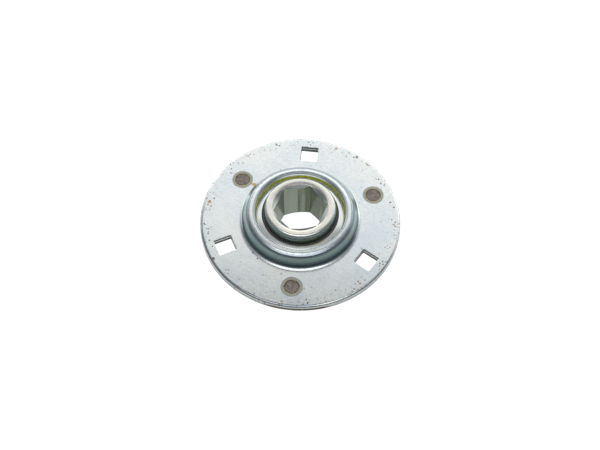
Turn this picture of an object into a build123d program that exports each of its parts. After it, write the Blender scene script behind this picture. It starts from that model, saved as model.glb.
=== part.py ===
"""Flange mount bearing: a hex-bore sealed ball bearing held between two welded round flangettes.

The origin is on the bearing's axis, in the seam plane between the two flangettes. +Z runs along
the axis and the first bolt hole is on +Y. Everything is in millimetres.
"""

from build123d import *
import math
import os

# Flangettes: two identical pressed discs, back to back on the seam plane
FLANGE_DIAMETER = 95.25
SHEET = 1.9
RIM_ROUNDING = 1.2
BOLT_CIRCLE = 76.2
BOLT_COUNT = 3
BOLT_SQUARE = 8.5
BOLT_CORNER = 0.4
FIRST_BOLT_ANGLE = 90.0
DRAWN_WALL = 1.55
BEND_FOOT_RADIUS = 28.41
BEND_ROUNDING = 3.2
WALL_FOOT_HEIGHT = 2.47
WALL_FOOT_ROUNDING = 0.12
INNER_BEND = 3.45
CONE_START_HEIGHT = 4.9
CONE_TOP_RADIUS = 24.95
CONE_TOP_HEIGHT = 8.2
RIDGE_RADIUS = 22.9
RIDGE_HEIGHT = 8.75
LIP_RADIUS = 21.3
LIP_TOP_HEIGHT = 8.45
WALL_ROUNDING = 1.2
SHOULDER_ROUNDING = 1.3
RIDGE_ROUNDING = 3.0
LIP_ROUNDING = 0.5

# Spot welds: radius and angle of each, as they were struck
WELD_PLACES = ((35.9, 148.5), (37.7, 27.5), (37.2, 270.8))
WELD_RADIUS = 3.4
WELD_SINK = 0.12

# Bearing
OUTER_DIAMETER = 52.0
OUTER_HALF_WIDTH = 6.75
OUTER_SHOULDER_RADIUS = 22.0
SEAL_SEAT_RADIUS = 22.6
INNER_LAND_RADIUS = 16.85
INNER_HALF_WIDTH = 11.6
INNER_CORNER = 1.6
BLANK_BORE_RADIUS = 8.0
HEX_ACROSS_FLATS = 22.225
HEX_FLAT_ANGLE = 104.8
BORE_CHAMFER_RADIUS = 12.9
BORE_CHAMFER_ANGLE = 38.0
BALL_DIAMETER = 7.938
BALL_COUNT = 9
PITCH_RADIUS = 19.5
GROOVE_RADIUS = 4.1
RUNNING_GAP = 0.02

# Cage: two pressed ribbon halves riveted between the balls
CAGE_SHEET = 0.5
CAGE_INNER_RADIUS = 18.3
CAGE_OUTER_RADIUS = 20.5
POCKET_RADIUS = 4.05
RIVET_RADIUS = 0.6
RIVET_HEAD_RADIUS = 1.0
RIVET_HEAD_HEIGHT = 0.35

# Seals: a rubber lip held between an outer and an inner steel cap, one set on each side
CAP_SHEET = 0.5
CAP_RIM_HEIGHT = 5.0
CAP_STEP_OUTER_RADIUS = 21.15
CAP_STEP_INNER_RADIUS = 20.85
CAP_STEP_HEIGHT = 5.8
CAP_EDGE_RADIUS = 18.1
CAP_EDGE_HEIGHT = 6.35
CAP_CORNER = 0.2
CAP_BEND = 0.25
INNER_CAP_SHEET = 0.35
INNER_CAP_TOP = 5.1
INNER_CAP_OUTER_RADIUS = 20.2
INNER_CAP_EDGE_RADIUS = 18.7
INNER_CAP_CORNER = 0.1
LIP_FOOT_WIDTH = 0.7
CAP_STEP_INSET = 0.15
LIP_GAP = 0.05
LIP_FOOT_HEIGHT = 4.95
LIP_TOP_DROP = 0.1
LIP_CORNER = 0.3

BALL_RADIUS = BALL_DIAMETER / 2
SEAL_SEAT_HEIGHT = CAP_RIM_HEIGHT - CAP_SHEET
SEAT_RADIUS = OUTER_DIAMETER / 2
WALL_RADIUS = SEAT_RADIUS + DRAWN_WALL
CONE_RISE = CONE_TOP_HEIGHT - CONE_START_HEIGHT
CONE_RUN = WALL_RADIUS - CONE_TOP_RADIUS
CONE_SLOPE = CONE_RUN / CONE_RISE
CONE_WALL_ALONG_Z = DRAWN_WALL * math.hypot(CONE_RISE, CONE_RUN) / CONE_RUN
INNER_CONE_START = CONE_START_HEIGHT + (DRAWN_WALL / CONE_SLOPE) - CONE_WALL_ALONG_Z
INNER_CONE_RADIUS = SEAT_RADIUS - (OUTER_HALF_WIDTH - INNER_CONE_START) * CONE_SLOPE


def on_circle(radius, angle):
    """Location at a polar place, turned so that its X axis points outwards."""
    turned = math.radians(angle)
    return Location((radius * math.cos(turned), radius * math.sin(turned), 0), (0, 0, angle))


def turned_ring(*corners):
    """Full turn about Z of a closed outline of (radius, height, corner rounding) points."""
    points = [(radius, height) for radius, height, _ in corners]
    roundings = [rounding for _, _, rounding in corners]
    outline = FilletPolyline(*points, radius=roundings, close=True)
    return revolve(Plane.XZ * make_face(outline), Axis.Z)


def mirrored(part):
    """The same piece on the other side of the seam plane."""
    return mirror(part, about=Plane.XY)


def weld_cores():
    """Plain cylinders through both sheets where the welds join them."""
    core = Cylinder(WELD_RADIUS, 2 * SHEET)
    return [on_circle(radius, angle) * core for radius, angle in WELD_PLACES]


def flangette():
    """Upper pressed disc: flat flange, drawn wall, conical shoulder and inward lip."""
    rim = FLANGE_DIAMETER / 2
    body = turned_ring(
        (rim, 0, 0),
        (rim, SHEET, RIM_ROUNDING),
        (BEND_FOOT_RADIUS, SHEET, BEND_ROUNDING),
        (WALL_RADIUS, WALL_FOOT_HEIGHT, WALL_FOOT_ROUNDING),
        (WALL_RADIUS, CONE_START_HEIGHT, WALL_ROUNDING),
        (CONE_TOP_RADIUS, CONE_TOP_HEIGHT, SHOULDER_ROUNDING),
        (RIDGE_RADIUS, RIDGE_HEIGHT, RIDGE_ROUNDING),
        (LIP_RADIUS, LIP_TOP_HEIGHT, LIP_ROUNDING),
        (LIP_RADIUS, OUTER_HALF_WIDTH, 0),
        (INNER_CONE_RADIUS, OUTER_HALF_WIDTH, 0),
        (SEAT_RADIUS, INNER_CONE_START, 0),
        (SEAT_RADIUS, 0, INNER_BEND),
    )
    hole = extrude(RectangleRounded(BOLT_SQUARE, BOLT_SQUARE, BOLT_CORNER), 2 * SHEET, both=True)
    for index in range(BOLT_COUNT):
        angle = FIRST_BOLT_ANGLE + index * 360 / BOLT_COUNT
        body -= on_circle(BOLT_CIRCLE / 2, angle) * hole
    for core in weld_cores():
        body -= core
    return body


def spot_welds():
    """Three weld nuggets through both sheets, each end left as a shallow dish by the electrode."""
    dish_radius = (WELD_RADIUS**2 + WELD_SINK**2) / (2 * WELD_SINK)
    dish = Pos(0, 0, SHEET - WELD_SINK + dish_radius) * Sphere(dish_radius)
    nugget = Cylinder(WELD_RADIUS, 2 * SHEET) - dish - mirrored(dish)
    return Compound([on_circle(radius, angle) * nugget.solid() for radius, angle in WELD_PLACES])


def outer_ring():
    """Outer ring: coned shoulders that nest in the flangettes, a seal seat each side, one groove."""
    side = [
        (OUTER_SHOULDER_RADIUS, SEAL_SEAT_HEIGHT),
        (SEAL_SEAT_RADIUS, SEAL_SEAT_HEIGHT),
        (SEAL_SEAT_RADIUS, OUTER_HALF_WIDTH),
        (INNER_CONE_RADIUS, OUTER_HALF_WIDTH),
        (SEAT_RADIUS, INNER_CONE_START),
    ]
    upper = [(radius, height, 0) for radius, height in side]
    lower = [(radius, -height, 0) for radius, height in reversed(side)]
    groove = Torus(PITCH_RADIUS + BALL_RADIUS + RUNNING_GAP - GROOVE_RADIUS, GROOVE_RADIUS)
    return turned_ring(*upper, *lower) - groove


def inner_ring():
    """Inner ring: long land each side of the groove, hex bore with a turned chamfer at both ends."""
    blank = turned_ring(
        (BLANK_BORE_RADIUS, -INNER_HALF_WIDTH, 0),
        (INNER_LAND_RADIUS, -INNER_HALF_WIDTH, INNER_CORNER),
        (INNER_LAND_RADIUS, INNER_HALF_WIDTH, INNER_CORNER),
        (BLANK_BORE_RADIUS, INNER_HALF_WIDTH, 0),
    )
    groove = Torus(PITCH_RADIUS - BALL_RADIUS - RUNNING_GAP + GROOVE_RADIUS, GROOVE_RADIUS)
    hexagon = RegularPolygon(HEX_ACROSS_FLATS / 2, 6, major_radius=False, rotation=HEX_FLAT_ANGLE + 30)
    bore = extrude(hexagon, 2 * INNER_HALF_WIDTH, both=True)
    slope = math.tan(math.radians(BORE_CHAMFER_ANGLE))
    depth = BORE_CHAMFER_RADIUS * slope
    chamfer = Pos(0, 0, INNER_HALF_WIDTH - depth / 2) * Cone(0, BORE_CHAMFER_RADIUS, depth)
    return blank - groove - bore - chamfer - mirrored(chamfer)


def ball(index):
    """One ball of the row."""
    return on_circle(PITCH_RADIUS, index * 360 / BALL_COUNT) * Sphere(BALL_RADIUS)


def cage_half():
    """Upper ribbon: flat lands between the balls and a pressed dome over each ball."""
    height = POCKET_RADIUS + 2 * CAGE_SHEET
    band = Cylinder(CAGE_OUTER_RADIUS, height) - Cylinder(CAGE_INNER_RADIUS, height)
    band = Pos(0, 0, height / 2) * band
    ribbon = band & (Pos(0, 0, CAGE_SHEET / 2) * Cylinder(CAGE_OUTER_RADIUS, CAGE_SHEET))
    for index in range(BALL_COUNT):
        place = on_circle(PITCH_RADIUS, index * 360 / BALL_COUNT)
        ribbon += band & (place * Sphere(POCKET_RADIUS + CAGE_SHEET))
    for index in range(BALL_COUNT):
        ribbon -= on_circle(PITCH_RADIUS, index * 360 / BALL_COUNT) * Sphere(POCKET_RADIUS)
        ribbon -= rivet_place(index) * Cylinder(RIVET_RADIUS, 4 * CAGE_SHEET)
    return ribbon


def rivet_place(index):
    """Middle of the flat land after a ball."""
    middle = (CAGE_INNER_RADIUS + CAGE_OUTER_RADIUS) / 2
    return on_circle(middle, (index + 0.5) * 360 / BALL_COUNT)


def cage_rivets():
    """Rivets with a low domed head at each end."""
    shank = Cylinder(RIVET_RADIUS, 2 * CAGE_SHEET)
    dome_radius = (RIVET_HEAD_RADIUS**2 + RIVET_HEAD_HEIGHT**2) / (2 * RIVET_HEAD_HEIGHT)
    sphere = Pos(0, 0, CAGE_SHEET + RIVET_HEAD_HEIGHT - dome_radius) * Sphere(dome_radius)
    above = Pos(0, 0, CAGE_SHEET + RIVET_HEAD_RADIUS) * Cylinder(2 * RIVET_HEAD_RADIUS, 2 * RIVET_HEAD_RADIUS)
    head = sphere & above
    rivet = shank + head + mirrored(head)
    return Compound([rivet_place(index) * rivet.solid() for index in range(BALL_COUNT)])


def seal_outer_cap():
    """Outer steel cap: rim in the seal seat, a step up, then a ring that rises towards the shaft."""
    return turned_ring(
        (SEAL_SEAT_RADIUS, SEAL_SEAT_HEIGHT, 0),
        (SEAL_SEAT_RADIUS, CAP_RIM_HEIGHT, CAP_CORNER),
        (CAP_STEP_OUTER_RADIUS, CAP_RIM_HEIGHT, CAP_BEND),
        (CAP_STEP_INNER_RADIUS, CAP_STEP_HEIGHT, CAP_BEND),
        (CAP_EDGE_RADIUS, CAP_EDGE_HEIGHT, CAP_CORNER),
        (CAP_EDGE_RADIUS, CAP_EDGE_HEIGHT - CAP_SHEET, 0),
        (CAP_STEP_INNER_RADIUS - CAP_STEP_INSET, CAP_STEP_HEIGHT - CAP_SHEET, 0),
        (CAP_STEP_OUTER_RADIUS - CAP_STEP_INSET, SEAL_SEAT_HEIGHT, 0),
    )


def seal_inner_cap():
    """Inner steel cap: a flat washer bonded under the rubber."""
    return turned_ring(
        (INNER_CAP_OUTER_RADIUS, INNER_CAP_TOP - INNER_CAP_SHEET, INNER_CAP_CORNER),
        (INNER_CAP_OUTER_RADIUS, INNER_CAP_TOP, 0),
        (INNER_CAP_EDGE_RADIUS, INNER_CAP_TOP, 0),
        (INNER_CAP_EDGE_RADIUS, INNER_CAP_TOP - INNER_CAP_SHEET, INNER_CAP_CORNER),
    )


def seal_lip():
    """Rubber between the caps, with its lip just clear of the inner ring's land."""
    return turned_ring(
        (CAP_STEP_INNER_RADIUS - CAP_STEP_INSET, CAP_STEP_HEIGHT - CAP_SHEET, 0),
        (CAP_EDGE_RADIUS, CAP_EDGE_HEIGHT - CAP_SHEET, 0),
        (INNER_LAND_RADIUS + LIP_GAP, CAP_EDGE_HEIGHT - CAP_SHEET - LIP_TOP_DROP, LIP_CORNER),
        (INNER_LAND_RADIUS + LIP_GAP, LIP_FOOT_HEIGHT, 0),
        (INNER_CAP_EDGE_RADIUS - LIP_FOOT_WIDTH, LIP_FOOT_HEIGHT, 0),
        (INNER_CAP_EDGE_RADIUS, INNER_CAP_TOP, 0),
        (CAP_STEP_INNER_RADIUS - CAP_STEP_INSET, INNER_CAP_TOP, 0),
    )


def all_parts():
    """Every node's name with its shape."""
    upper = {
        "flangette": flangette(),
        "seal_outer_cap": seal_outer_cap(),
        "seal_lip": seal_lip(),
        "seal_inner_cap": seal_inner_cap(),
    }
    parts = {f"{name}_upper": shape for name, shape in upper.items()}
    parts |= {f"{name}_lower": mirrored(shape) for name, shape in upper.items()}
    half = cage_half()
    parts["cage_half_upper"] = half
    parts["cage_half_lower"] = mirrored(half)
    parts["cage_rivets"] = cage_rivets()
    parts["spot_welds"] = spot_welds()
    parts["outer_ring"] = outer_ring()
    parts["inner_ring"] = inner_ring()
    for index in range(BALL_COUNT):
        parts[f"ball_{index + 1}"] = ball(index)
    return parts


os.makedirs("parts", exist_ok=True)
for name, shape in all_parts().items():
    shape.label = name
    export_step(shape, f"parts/{name}.step")
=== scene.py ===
"""Looks of the flange mount bearing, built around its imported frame.

Everything is in metres. The bearing's axis is Z, and the first bolt hole is on +Y.
"""

import math

import bmesh
import bpy
from mathutils import Euler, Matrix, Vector, noise


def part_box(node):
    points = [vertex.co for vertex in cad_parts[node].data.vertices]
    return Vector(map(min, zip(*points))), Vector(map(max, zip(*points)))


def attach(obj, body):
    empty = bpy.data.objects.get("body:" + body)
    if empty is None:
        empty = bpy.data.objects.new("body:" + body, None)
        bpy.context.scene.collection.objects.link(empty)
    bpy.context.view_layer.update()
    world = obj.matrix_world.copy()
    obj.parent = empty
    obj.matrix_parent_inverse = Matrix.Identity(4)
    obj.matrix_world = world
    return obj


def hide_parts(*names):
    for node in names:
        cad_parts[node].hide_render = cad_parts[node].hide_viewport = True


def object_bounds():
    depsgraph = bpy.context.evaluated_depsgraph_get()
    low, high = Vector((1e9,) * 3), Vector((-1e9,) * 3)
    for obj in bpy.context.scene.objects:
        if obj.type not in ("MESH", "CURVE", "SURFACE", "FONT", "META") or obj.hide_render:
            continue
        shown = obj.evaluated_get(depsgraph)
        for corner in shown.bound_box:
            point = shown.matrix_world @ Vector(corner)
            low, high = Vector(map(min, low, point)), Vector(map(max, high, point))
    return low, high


bl_info = {
    "name": "Flange Mount Bearing",
    "version": (1, 0, 0),
    "blender": (4, 5, 0),
    "location": "View3D > Sidebar > Bearing",
    "description": "Builds the visible pieces and finishes of a flange mount bearing",
    "category": "Object",
}

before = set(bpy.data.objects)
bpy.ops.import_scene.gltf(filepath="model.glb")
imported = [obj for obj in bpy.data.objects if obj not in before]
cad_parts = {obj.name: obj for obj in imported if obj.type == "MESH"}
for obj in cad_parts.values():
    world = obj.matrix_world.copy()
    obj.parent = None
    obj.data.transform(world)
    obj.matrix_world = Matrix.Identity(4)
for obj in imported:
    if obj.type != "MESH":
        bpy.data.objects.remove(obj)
CAD_BOUNDS = [list(corner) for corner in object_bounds()]

FLANGETTE_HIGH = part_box("flangette_upper")[1]
RING_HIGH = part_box("inner_ring")[1]
CAP_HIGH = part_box("seal_outer_cap_upper")[1]
OUTER_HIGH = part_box("outer_ring")[1]

MM = 0.001
SEGMENTS = 360
WELD_SEGMENTS = 72
WELD_ROWS = 16
WELD_GRAIN = 1300
CORNER_STEPS = 6
GROOVE_STEPS = 14
FLAT_STEPS = 54
BEND_REACH = 1.34 * MM
ARC_STEP = math.radians(9)
SHARP_ANGLE = math.radians(32)
FLOOR_REACH = 3.0
FLOOR_GLOW = 1.0
FLOOR_BOUNCE = 0.62
FLOOR_BOUNCE_FAR = 0.42
ROOM_SEEN = (0.95, 0.95, 0.95)
ROOM_LOW = (0.32, 0.365, 0.36)
ROOM_MIDDLE = (0.05, 0.065, 0.07)
ROOM_HIGH = (0.27, 0.29, 0.30)
CAMERA_TARGET = (0.213 * MM, -2.742 * MM, 0)
# radius in mm and direction in degrees
WELD_PLACES = ((35.9, 148.5), (37.7, 27.5), (37.2, 270.8))
WELD_NAMES = ("left", "right", "front")
BOLT_ANGLES = (90.0, 210.0, 330.0)


# ---------------------------------------------------------------- sizes and colours


def length(name, description, default):
    """A size that the user may change, in metres."""
    return bpy.props.FloatProperty(
        name=name, description=description, default=default, unit="LENGTH", precision=5
    )


def angle(name, description, degrees):
    """A direction that the user may change."""
    return bpy.props.FloatProperty(
        name=name, description=description, default=math.radians(degrees), subtype="ANGLE"
    )


def colour(name, description, default):
    """A finish colour that the user may change."""
    return bpy.props.FloatVectorProperty(
        name=name, description=description, default=default, subtype="COLOR", size=3, min=0, max=1
    )


class FlangetteSizes(bpy.types.PropertyGroup):
    """Sizes of the two pressed discs and their welds."""

    rim_radius: length("Rim radius", "Outside radius of the flange", FLANGETTE_HIGH.x)
    sheet: length("Sheet", "Thickness of each pressed sheet", 1.9 * MM)
    rim_rounding: length("Rim rounding", "Roll-over of the blanked rim", 1.2 * MM)
    wall_radius: length("Wall radius", "Radius of the drawn wall", 27.55 * MM)
    bend_foot: length("Bend foot", "Radius where the flange starts to bend up", 28.41 * MM)
    bend_rounding: length("Bend rounding", "Rounding of the bend up to the wall", 3.2 * MM)
    wall_foot: length("Wall foot", "Height where the drawn wall starts", 2.47 * MM)
    seat_radius: length("Seat radius", "Radius that holds the outer ring", OUTER_HIGH.x)
    seat_face: length("Seat face", "Height of the face that holds the outer ring", OUTER_HIGH.z)
    lip_radius: length("Lip radius", "Inner radius of the crown's lip", 21.3 * MM)
    bolt_circle: length("Bolt circle radius", "Radius of the circle of bolt holes", 38.1 * MM)
    bolt_square: length("Bolt square", "Side of each square bolt hole", 8.5 * MM)
    bolt_corner: length("Bolt corner", "Corner radius of the square holes", 0.4 * MM)
    hole_rollover: length("Hole roll-over", "Rounding of each hole's punched edge", 0.14 * MM)
    seam_chamfer: length("Seam chamfer", "Break of each hole's edge at the seam", 0.28 * MM)
    weld_radius: length("Weld radius", "Radius of each electrode dent", 3.4 * MM)
    weld_dent: length("Weld dent", "Depth of each electrode dent", 0.14 * MM)


class BearingSizes(bpy.types.PropertyGroup):
    """Sizes of the inner ring and the seals."""

    half_width: length("Half width", "Half of the inner ring's width", RING_HIGH.z)
    land_radius: length("Land radius", "Outside radius of the inner ring", RING_HIGH.x)
    corner: length("Corner", "Rounding of the inner ring's ends", 1.6 * MM)
    across_flats: length("Across flats", "Size of the hexagon bore", 22.225 * MM)
    chamfer_radius: length("Chamfer radius", "Radius of the bore's lead-in", 12.9 * MM)
    chamfer_angle: angle("Chamfer angle", "Slope of the bore's lead-in", 38)
    flat_angle: angle("Flat angle", "Direction that one flat of the hexagon faces away from the axis", 104.8)
    groove_radius: length("Groove radius", "Radius of the ball groove", 4.1 * MM)
    groove_centre: length("Groove centre", "Radius of the ball groove's centre", 19.611 * MM)
    cap_sheet: length("Cap sheet", "Thickness of the seal's steel cap", 0.5 * MM)
    lip_gap: length("Lip gap", "Gap between the rubber lip and the land", 0.05 * MM)


class BearingFinishes(bpy.types.PropertyGroup):
    """Colours of the finishes."""

    zinc: colour("Zinc", "Light, slightly warm zinc plate", (0.95, 0.95, 0.92))
    zinc_shade: colour("Zinc shade", "Bluish parts of the zinc plate", (0.82, 0.87, 0.89))
    cut_edge: colour("Cut edge", "Matt sheared edge of the sheet", (0.50, 0.54, 0.55))
    punched: colour("Punched edge", "Dark wall of the punched holes", (0.07, 0.085, 0.07))
    rust: colour("Rust", "Orange rust", (0.58, 0.31, 0.12))
    dark_rust: colour("Dark rust", "Brown rust", (0.10, 0.055, 0.028))
    weld_scale: colour("Weld scale", "Brown-grey weld dent", (0.29, 0.24, 0.205))
    weld_halo: colour("Weld halo", "Grey ring where the electrode pressed", (0.36, 0.38, 0.36))
    straw: colour("Straw", "Straw tint of heated zinc", (0.52, 0.43, 0.22))
    ring: colour("Ring", "Turned bearing steel", (0.90, 0.86, 0.76))
    bore: colour("Bore", "Broached hexagon bore", (0.17, 0.20, 0.135))
    cap: colour("Cap", "Satin zinc of the seal cap", (0.97, 0.97, 0.94))
    rubber: colour("Rubber", "Nitrile rubber", (0.13, 0.13, 0.128))
    grease: colour("Grease", "Olive bearing grease", (0.70, 0.68, 0.03))


class StudioSettings(bpy.types.PropertyGroup):
    """Where the camera stands, and its lens."""

    elevation: angle("Elevation", "Height of the camera above the horizon", 57.82)
    azimuth: angle("Azimuth", "Turn of the camera about the axis", 6.4)
    roll: angle("Roll", "Tilt of the camera about its own axis", 0.507)
    distance: length("Distance", "From the camera to the object", 416.2 * MM)
    lens: bpy.props.FloatProperty(
        name="Lens", description="Focal length", default=52.52, unit="CAMERA"
    )


# ---------------------------------------------------------------- mesh work


def polar(radius, angle, height=1.9):
    """A point from its radius in mm, angle in degrees and height in mm."""
    facing = math.radians(angle)
    return (radius * MM * math.cos(facing), radius * MM * math.sin(facing), height * MM)


def arc_between(before, corner, after, rounding):
    """Points of the arc that rounds one corner of an outline."""
    to_before = Vector(before) - Vector(corner)
    to_after = Vector(after) - Vector(corner)
    turn = to_before.angle(to_after)
    reach = rounding / math.tan(turn / 2)
    start = Vector(corner) + to_before.normalized() * reach
    end = Vector(corner) + to_after.normalized() * reach
    middle_way = (to_before.normalized() + to_after.normalized()).normalized()
    centre = Vector(corner) + middle_way * rounding / math.sin(turn / 2)
    steps = max(2, math.ceil((math.pi - turn) / ARC_STEP))
    facing = math.atan2(start.y - centre.y, start.x - centre.x)
    swing = math.atan2(end.y - centre.y, end.x - centre.x) - facing
    swing = (swing + math.pi) % (2 * math.pi) - math.pi
    points = []
    for step in range(steps + 1):
        angle = facing + swing * step / steps
        points.append((centre.x + rounding * math.cos(angle), centre.y + rounding * math.sin(angle)))
    return points


def rounded(corners, closed=True):
    """An outline of (radius, height) points from (radius, height, rounding) corners."""
    outline = []
    for index, (radius, height, rounding) in enumerate(corners):
        at_end = index in (0, len(corners) - 1) and not closed
        if rounding == 0 or at_end:
            outline.append((radius, height))
            continue
        before = corners[index - 1][:2]
        after = corners[(index + 1) % len(corners)][:2]
        outline += arc_between(before, (radius, height), after, rounding)
    return outline


def ring_of_points(work, radius, height, segments=SEGMENTS):
    """A circle of vertices about the axis."""
    ring = []
    for index in range(segments):
        angle = 2 * math.pi * index / segments
        ring.append(work.verts.new((radius * math.cos(angle), radius * math.sin(angle), height)))
    return ring


def bridge(work, first, second, finish=0):
    """Quads between two closed rings with the same number of vertices."""
    for index in range(len(first)):
        after = (index + 1) % len(first)
        face = work.faces.new((first[index], first[after], second[after], second[index]))
        face.material_index = finish


def skin(work, rings, closed=False, finish=0):
    """Quads through a row of rings, and back to the first one if closed."""
    pairs = list(zip(rings, rings[1:]))
    if closed:
        pairs.append((rings[-1], rings[0]))
    for first, second in pairs:
        bridge(work, first, second, finish)


def fill_between(work, rings):
    """Flat faces inside the first ring and outside the others."""
    edges = []
    for ring in rings:
        for index, vertex in enumerate(ring):
            other = ring[(index + 1) % len(ring)]
            edge = work.edges.get((vertex, other)) or work.edges.new((vertex, other))
            edges.append(edge)
    bmesh.ops.triangle_fill(work, use_beauty=True, use_dissolve=False, edges=edges)


def finished_piece(name, work, body, slot_name, *nodes, flip=False):
    """An object from a bmesh, smooth-shaded, riding on its body and standing for its nodes."""
    if flip:
        for vertex in work.verts:
            vertex.co.z = -vertex.co.z
    bmesh.ops.recalc_face_normals(work, faces=work.faces)
    mesh = bpy.data.meshes.new(name)
    work.to_mesh(mesh)
    work.free()
    mesh.shade_smooth()
    mesh.set_sharp_from_angle(angle=SHARP_ANGLE)
    piece = bpy.data.objects.new(name, mesh)
    bpy.context.scene.collection.objects.link(piece)
    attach(piece, body)
    if nodes:
        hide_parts(*nodes)
    return piece


def turned(outline, shift=None):
    """A bmesh of a closed outline turned about the axis. shift moves each point a little."""
    work = bmesh.new()
    rings = [ring_of_points(work, radius, height) for radius, height in outline]
    skin(work, rings, closed=True)
    if shift:
        for ring in rings:
            for vertex in ring:
                vertex.co += shift(vertex.co)
    return work


def square_outline(side, corner, offset):
    """Points of a rounded square, grown outwards by an offset."""
    half = side / 2 - corner
    grown = corner + offset
    points = []
    for quarter in range(4):
        facing = math.radians(90 * quarter)
        middle = Vector((half, half)).to_3d()
        middle.rotate(turn_about_axis(facing))
        for step in range(CORNER_STEPS + 1):
            angle = facing + math.radians(90 * step / CORNER_STEPS)
            points.append((middle.x + grown * math.cos(angle), middle.y + grown * math.sin(angle)))
    return points


def turn_about_axis(angle):
    """A rotation about Z."""
    return Euler((0, 0, angle))


def bolt_hole(work, sizes, angle):
    """Wall of one punched square hole. Returns its ring on top and its ring at the seam."""
    facing = math.radians(angle)
    roll = sizes.hole_rollover
    break_edge = sizes.seam_chamfer
    profile = [
        (2.2 * roll, sizes.sheet),
        (roll, sizes.sheet),
        (0.3 * roll, sizes.sheet - 0.3 * roll),
        (0, sizes.sheet - roll),
        (0, 0.62 * sizes.sheet),
        (0.04 * MM, 0.56 * sizes.sheet),
        (0.06 * MM, break_edge),
        (0.06 * MM + 0.3 * break_edge, 0.3 * break_edge),
        (break_edge, 0),
    ]
    rings = []
    for offset, height in profile:
        ring = []
        for across, along in square_outline(sizes.bolt_square, sizes.bolt_corner, offset):
            place = Vector((sizes.bolt_circle + across, along, height))
            place.rotate(turn_about_axis(facing))
            ring.append(work.verts.new(place))
        rings.append(ring)
    skin(work, rings[:4])
    skin(work, rings[3:7], finish=1)
    skin(work, rings[6:])
    return rings[0], rings[-1]


def weld_hole(work, sizes, radius, angle):
    """The dented edge round one weld. Returns its ring on top and its ring at the seam."""
    centre = Vector(polar(radius, angle, 0))
    profile = [
        (1.20, sizes.sheet),
        (1.12, sizes.sheet),
        (1.05, sizes.sheet - 0.1 * sizes.weld_dent),
        (1.02, sizes.sheet - 0.45 * sizes.weld_dent),
        (1.0, sizes.sheet - sizes.weld_dent),
        (1.0, 0),
    ]
    rings = []
    for reach, height in profile:
        ring = ring_of_points(work, reach * sizes.weld_radius, height, WELD_SEGMENTS)
        for vertex in ring:
            vertex.co += centre
        rings.append(ring)
    skin(work, rings)
    return rings[0], rings[-1]


def flangette_work(sizes):
    """Upper pressed disc: rim, flange with its holes, wall, cone, crown and lip."""
    work = bmesh.new()
    rim = sizes.rim_radius
    sheet = sizes.sheet
    burr = 0.12 * MM
    rim_outline = rounded(
        [
            (rim - 1.6 * MM, sheet, 0),
            (rim, sheet, sizes.rim_rounding),
            (rim, burr, 0),
            (rim - 0.5 * burr, 0, 0),
        ],
        closed=False,
    )
    flange_edge = sizes.bend_foot + BEND_REACH
    crown_outline = rounded(
        [
            (flange_edge, sheet, 0),
            (sizes.bend_foot, sheet, sizes.bend_rounding),
            (sizes.wall_radius, sizes.wall_foot, 0.12 * MM),
            (sizes.wall_radius, 4.9 * MM, 1.2 * MM),
            (24.95 * MM, 8.2 * MM, 1.3 * MM),
            (22.9 * MM, 8.75 * MM, 3.0 * MM),
            (sizes.lip_radius, 8.45 * MM, 0.5 * MM),
            (sizes.lip_radius, sizes.seat_face, 0.08 * MM),
            (24.12 * MM, sizes.seat_face, 0),
            (sizes.seat_radius, 4.363 * MM, 0),
            (sizes.seat_radius, 0, 3.45 * MM),
            (flange_edge, 0, 0),
        ],
        closed=False,
    )
    rim_rings = [ring_of_points(work, *point) for point in rim_outline]
    crown_rings = [ring_of_points(work, *point) for point in crown_outline]
    skin(work, rim_rings)
    skin(work, crown_rings)
    holes = [bolt_hole(work, sizes, angle) for angle in BOLT_ANGLES]
    holes += [weld_hole(work, sizes, *place) for place in WELD_PLACES]
    fill_between(work, [rim_rings[0], crown_rings[0]] + [top for top, _ in holes])
    fill_between(work, [rim_rings[-1], crown_rings[-1]] + [seam for _, seam in holes])
    return work


def weld_work(sizes, radius, angle):
    """One weld nugget, with a mottled electrode dent at both ends."""
    work = bmesh.new()
    centre = Vector(polar(radius, angle, 0))
    edge = sizes.sheet - sizes.weld_dent
    ends = []
    middle_dip = 0.05 * MM
    for side in (1, -1):
        rings = []
        for row in range(WELD_ROWS):
            reach = 1 - row / WELD_ROWS
            raised_ring = math.exp(-(((reach - 0.82) / 0.07) ** 2))
            dip = middle_dip * (1 - reach**2) - middle_dip * raised_ring
            ring = ring_of_points(work, reach * sizes.weld_radius, edge - dip, WELD_SEGMENTS)
            for vertex in ring:
                place = (vertex.co + centre) * WELD_GRAIN
                rough = noise.noise(place) + 0.6 * noise.noise(place * 2.3)
                vertex.co.z += 0.035 * MM * rough * min(1, row / 2)
            rings.append(ring)
        tip = work.verts.new((0, 0, edge - middle_dip))
        skin(work, rings)
        for index, vertex in enumerate(rings[-1]):
            work.faces.new((vertex, rings[-1][(index + 1) % len(rings[-1])], tip))
        for vertex in [tip] + [vertex for ring in rings for vertex in ring]:
            vertex.co.z *= side
        ends.append(rings[0])
    bridge(work, ends[0], ends[1])
    bmesh.ops.translate(work, verts=work.verts, vec=centre)
    return work


def hexagon_radius(sizes, angle):
    """Distance from the axis to the hexagon bore in one direction."""
    sixth = math.pi / 3
    off_flat = (angle - sizes.flat_angle + sixth / 2) % sixth - sixth / 2
    return sizes.across_flats / 2 / math.cos(off_flat)


def groove_arc(sizes):
    """Outline of the ball groove in the land, from top to bottom."""
    reach = sizes.groove_centre - sizes.land_radius
    half = math.acos(reach / sizes.groove_radius)
    points = []
    for step in range(GROOVE_STEPS + 1):
        angle = half - 2 * half * step / GROOVE_STEPS
        radius = sizes.groove_centre - sizes.groove_radius * math.cos(angle)
        points.append((radius, sizes.groove_radius * math.sin(angle)))
    return points


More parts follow.
